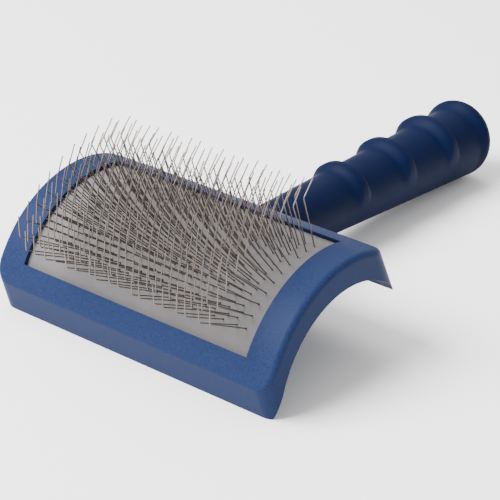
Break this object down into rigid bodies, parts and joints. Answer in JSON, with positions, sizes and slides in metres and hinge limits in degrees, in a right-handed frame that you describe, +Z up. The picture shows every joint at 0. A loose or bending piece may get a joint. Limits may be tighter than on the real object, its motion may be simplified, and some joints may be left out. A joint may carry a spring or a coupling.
{
  "type": "slicker brush",
  "caption": "Slicker brush with an arched head, a grey cushioned pad of bent wire pins and a ridged soft grip, lying pins up.",
  "frame": {"origin": "centre of the brush's bounding box, on the surface it lies on", "axes": "+X along the head, +Y from the head towards the handle's butt, +Z up, the side the pins point to"},
  "size_m": [0.138, 0.237, 0.0739],
  "materials": {
    "rim_blue": "satin, fine speckled texture",
    "back_blue": "satin",
    "grip_navy": "soft matte",
    "pad_grey": "matte",
    "foam_grey": "matte foam",
    "pin_steel": "drawn wire"
  },
  "bodies": {
    "root": {"head_rim": "rim_blue", "back_handle": "back_blue", "grip_sleeve": "grip_navy", "pad_sheet": "pad_grey", "foam_cushion": "foam_grey"},
    "pin_row_01": {"pin_row_01": "pin_steel"},
    "pin_row_02": {"pin_row_02": "pin_steel"},
    "pin_row_03": {"pin_row_03": "pin_steel"},
    "pin_row_04": {"pin_row_04": "pin_steel"},
    "pin_row_05": {"pin_row_05": "pin_steel"},
    "pin_row_06": {"pin_row_06": "pin_steel"},
    "pin_row_07": {"pin_row_07": "pin_steel"},
    "pin_row_08": {"pin_row_08": "pin_steel"},
    "pin_row_09": {"pin_row_09": "pin_steel"},
    "pin_row_10": {"pin_row_10": "pin_steel"},
    "pin_row_11": {"pin_row_11": "pin_steel"},
    "pin_row_12": {"pin_row_12": "pin_steel"},
    "pin_row_13": {"pin_row_13": "pin_steel"},
    "pin_row_14": {"pin_row_14": "pin_steel"},
    "pin_row_15": {"pin_row_15": "pin_steel"},
    "pin_row_16": {"pin_row_16": "pin_steel"},
    "pin_row_17": {"pin_row_17": "pin_steel"},
    "pin_row_18": {"pin_row_18": "pin_steel"},
    "pin_row_19": {"pin_row_19": "pin_steel"}
  },
  "joints": [
    {"name": "row_01_rock", "type": "hinge", "parent": "root", "child": "pin_row_01", "pos_m": [0, -0.09641, 0.02854], "axis": [1, 0, 0], "range_deg": [-5, 5], "stiffness_Nm_per_rad": 0.01},
    {"name": "row_02_rock", "type": "hinge", "parent": "root", "child": "pin_row_02", "pos_m": [0, -0.09481, 0.03036], "axis": [1, 0, 0], "range_deg": [-5, 5], "stiffness_Nm_per_rad": 0.01},
    {"name": "row_03_rock", "type": "hinge", "parent": "root", "child": "pin_row_03", "pos_m": [0, -0.0931, 0.03209], "axis": [1, 0, 0], "range_deg": [-5, 5], "stiffness_Nm_per_rad": 0.01},
    {"name": "row_04_rock", "type": "hinge", "parent": "root", "child": "pin_row_04", "pos_m": [0, -0.09132, 0.03373], "axis": [1, 0, 0], "range_deg": [-5, 5], "stiffness_Nm_per_rad": 0.01},
    {"name": "row_05_rock", "type": "hinge", "parent": "root", "child": "pin_row_05", "pos_m": [0, -0.08944, 0.03528], "axis": [1, 0, 0], "range_deg": [-5, 5], "stiffness_Nm_per_rad": 0.01},
    {"name": "row_06_rock", "type": "hinge", "parent": "root", "child": "pin_row_06", "pos_m": [0, -0.0875, 0.03673], "axis": [1, 0, 0], "range_deg": [-5, 5], "stiffness_Nm_per_rad": 0.01},
    {"name": "row_07_rock", "type": "hinge", "parent": "root", "child": "pin_row_07", "pos_m": [0, -0.08548, 0.03808], "axis": [1, 0, 0], "range_deg": [-5, 5], "stiffness_Nm_per_rad": 0.01},
    {"name": "row_08_rock", "type": "hinge", "parent": "root", "child": "pin_row_08", "pos_m": [0, -0.08339, 0.03932], "axis": [1, 0, 0], "range_deg": [-5, 5], "stiffness_Nm_per_rad": 0.01},
    {"name": "row_09_rock", "type": "hinge", "parent": "root", "child": "pin_row_09", "pos_m": [0, -0.08124, 0.04045], "axis": [1, 0, 0], "range_deg": [-5, 5], "stiffness_Nm_per_rad": 0.01},
    {"name": "row_10_rock", "type": "hinge", "parent": "root", "child": "pin_row_10", "pos_m": [0, -0.07904, 0.04147], "axis": [1, 0, 0], "range_deg": [-5, 5], "stiffness_Nm_per_rad": 0.01},
    {"name": "row_11_rock", "type": "hinge", "parent": "root", "child": "pin_row_11", "pos_m": [0, -0.07678, 0.04238], "axis": [1, 0, 0], "range_deg": [-5, 5], "stiffness_Nm_per_rad": 0.01},
    {"name": "row_12_rock", "type": "hinge", "parent": "root", "child": "pin_row_12", "pos_m": [0, -0.07448, 0.04317], "axis": [1, 0, 0], "range_deg": [-5, 5], "stiffness_Nm_per_rad": 0.01},
    {"name": "row_13_rock", "type": "hinge", "parent": "root", "child": "pin_row_13", "pos_m": [0, -0.07215, 0.04383], "axis": [1, 0, 0], "range_deg": [-5, 5], "stiffness_Nm_per_rad": 0.01},
    {"name": "row_14_rock", "type": "hinge", "parent": "root", "child": "pin_row_14", "pos_m": [0, -0.06978, 0.04438], "axis": [1, 0, 0], "range_deg": [-5, 5], "stiffness_Nm_per_rad": 0.01},
    {"name": "row_15_rock", "type": "hinge", "parent": "root", "child": "pin_row_15", "pos_m": [0, -0.06739, 0.0448], "axis": [1, 0, 0], "range_deg": [-5, 5], "stiffness_Nm_per_rad": 0.01},
    {"name": "row_16_rock", "type": "hinge", "parent": "root", "child": "pin_row_16", "pos_m": [0, -0.06498, 0.0451], "axis": [1, 0, 0], "range_deg": [-5, 5], "stiffness_Nm_per_rad": 0.01},
    {"name": "row_17_rock", "type": "hinge", "parent": "root", "child": "pin_row_17", "pos_m": [0, -0.06256, 0.04527], "axis": [1, 0, 0], "range_deg": [-5, 5], "stiffness_Nm_per_rad": 0.01},
    {"name": "row_18_rock", "type": "hinge", "parent": "root", "child": "pin_row_18", "pos_m": [0, -0.06013, 0.04532], "axis": [1, 0, 0], "range_deg": [-5, 5], "stiffness_Nm_per_rad": 0.01},
    {"name": "row_19_rock", "type": "hinge", "parent": "root", "child": "pin_row_19", "pos_m": [0, -0.0577, 0.04524], "axis": [1, 0, 0], "range_deg": [-5, 5], "stiffness_Nm_per_rad": 0.01}
  ]
}
